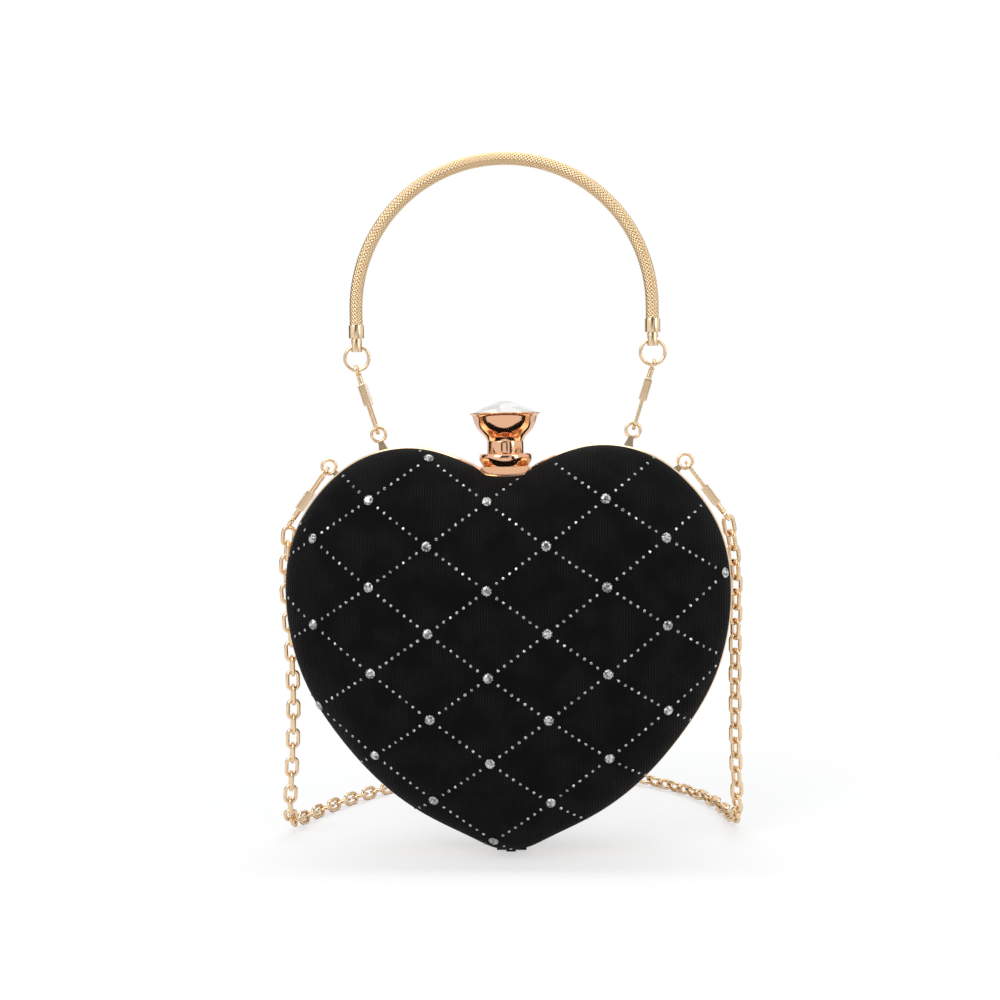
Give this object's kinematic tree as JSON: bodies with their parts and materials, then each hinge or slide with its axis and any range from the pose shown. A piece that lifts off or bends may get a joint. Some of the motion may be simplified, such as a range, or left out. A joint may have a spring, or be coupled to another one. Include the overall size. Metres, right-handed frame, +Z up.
{
  "type": "heart shaped purse",
  "caption": "Hard cased heart shaped evening purse in black ribbed fabric with a stone lattice, gold frame, push clasp, arched handle and chain strap.",
  "frame": {"origin": "middle of the handle's grip, on the tube's centre line", "axes": "+X to the right seen from the front, +Y to the back, +Z up; the front of the heart faces -Y"},
  "size_m": [0.1831, 0.1549, 0.2655],
  "materials": {
    "gold_metal": "polished",
    "rose_gold": "polished",
    "handle_scales": "polished",
    "chain": "polished gold",
    "black_fabric": "ribbed",
    "lining_fabric": "plain",
    "shell_board": "plain",
    "stones": "faceted",
    "gem": "faceted",
    "spring_steel": "plain",
    "black_metal": "blackened"
  },
  "bodies": {
    "handle": {"handle_tube": "handle_scales", "handle_core": "spring_steel", "handle_cap_left": "gold_metal", "handle_cap_right": "gold_metal"},
    "ring_left": {"handle_ring_left": "gold_metal"},
    "ring_right": {"handle_ring_right": "gold_metal"},
    "clasp_left": {"handle_clasp_left_body": "gold_metal", "handle_clasp_left_pin": "spring_steel"},
    "clasp_right": {"handle_clasp_right_body": "gold_metal", "handle_clasp_right_pin": "spring_steel"},
    "handle_trigger_left": {"handle_clasp_left_trigger": "gold_metal"},
    "handle_trigger_right": {"handle_clasp_right_trigger": "gold_metal"},
    "bag_back": {"back_frame": "gold_metal", "back_shell": "shell_board", "back_cover": "black_fabric", "back_lining": "lining_fabric", "back_rhinestones": "stones", "hinge_leaf_back": "black_metal", "hinge_pin": "black_metal", "handle_lug_left": "gold_metal", "handle_lug_right": "gold_metal", "strap_lug_left": "gold_metal", "strap_lug_right": "gold_metal", "clasp_saddle": "rose_gold", "clasp_base": "rose_gold", "knob_spring": "spring_steel", "latch_spring": "spring_steel", "strap_clasp_left_body": "gold_metal", "strap_clasp_left_pin": "spring_steel", "strap_clasp_right_body": "gold_metal", "strap_clasp_right_pin": "spring_steel", "strap_chain_left": "chain", "strap_chain_right": "chain", "strap_coil": "chain"},
    "bag_front": {"front_frame": "gold_metal", "front_shell": "shell_board", "front_cover": "black_fabric", "front_lining": "lining_fabric", "front_rhinestones": "stones", "hinge_leaf_front": "black_metal", "latch_keeper": "gold_metal"},
    "knob": {"knob_cup": "rose_gold", "knob_gem": "gem", "knob_stem": "spring_steel"},
    "strap_trigger_left": {"strap_clasp_left_trigger": "gold_metal"},
    "strap_trigger_right": {"strap_clasp_right_trigger": "gold_metal"}
  },
  "joints": [
    {"name": "ring_left_swing", "type": "hinge", "parent": "handle", "child": "ring_left", "pos_m": [-0.0561, 0, -0.06928], "axis": [1, 0, 0], "range_deg": [-15, 15]},
    {"name": "ring_right_swing", "type": "hinge", "parent": "handle", "child": "ring_right", "pos_m": [0.0561, 0, -0.06928], "axis": [1, 0, 0], "range_deg": [-15, 15]},
    {"name": "clasp_left_swing", "type": "hinge", "parent": "ring_left", "child": "clasp_left", "pos_m": [-0.0561, 0, -0.07848], "axis": [1, 0, 0], "range_deg": [-15, 15]},
    {"name": "clasp_right_swing", "type": "hinge", "parent": "ring_right", "child": "clasp_right", "pos_m": [0.0561, 0, -0.07848], "axis": [1, 0, 0], "range_deg": [-15, 15]},
    {"name": "bag_swing", "type": "hinge", "parent": "clasp_left", "child": "bag_back", "pos_m": [-0.0492, 0, -0.10042], "axis": [1, 0, 0], "range_deg": [-60, 60]},
    {"name": "lid_hinge", "type": "hinge", "parent": "bag_back", "child": "bag_front", "pos_m": [0, -0.00308, -0.26111], "axis": [1, 0, 0], "range_deg": [0, 95]},
    {"name": "knob_press", "type": "slide", "parent": "bag_back", "child": "knob", "axis": [0, 0, -1], "range_m": [0, 0.0025], "stiffness_N_per_m": 300, "deforming": ["knob_spring", "latch_spring"]},
    {"name": "handle_trigger_left_press", "type": "hinge", "parent": "clasp_left", "child": "handle_trigger_left", "pos_m": [-0.0525, 0.0016, -0.08993], "axis": [-0.954, 0, -0.2999], "range_deg": [0, 15], "stiffness_Nm_per_rad": 0.01},
    {"name": "handle_trigger_right_press", "type": "hinge", "parent": "clasp_right", "child": "handle_trigger_right", "pos_m": [0.0525, 0.0016, -0.08993], "axis": [-0.954, 0, 0.2999], "range_deg": [0, 15], "stiffness_Nm_per_rad": 0.01},
    {"name": "strap_trigger_left_press", "type": "hinge", "parent": "bag_back", "child": "strap_trigger_left", "pos_m": [-0.07585, 0.0016, -0.1261], "axis": [0.809, 0, -0.5878], "range_deg": [0, 15], "stiffness_Nm_per_rad": 0.01},
    {"name": "strap_trigger_right_press", "type": "hinge", "parent": "bag_back", "child": "strap_trigger_right", "pos_m": [0.07585, 0.0016, -0.1261], "axis": [0.809, 0, 0.5878], "range_deg": [0, 15], "stiffness_Nm_per_rad": 0.01}
  ],
  "couplings": [
    {"joint": "ring_right_swing", "follows": "ring_left_swing", "ratio": 1},
    {"joint": "clasp_right_swing", "follows": "clasp_left_swing", "ratio": 1}
  ]
}
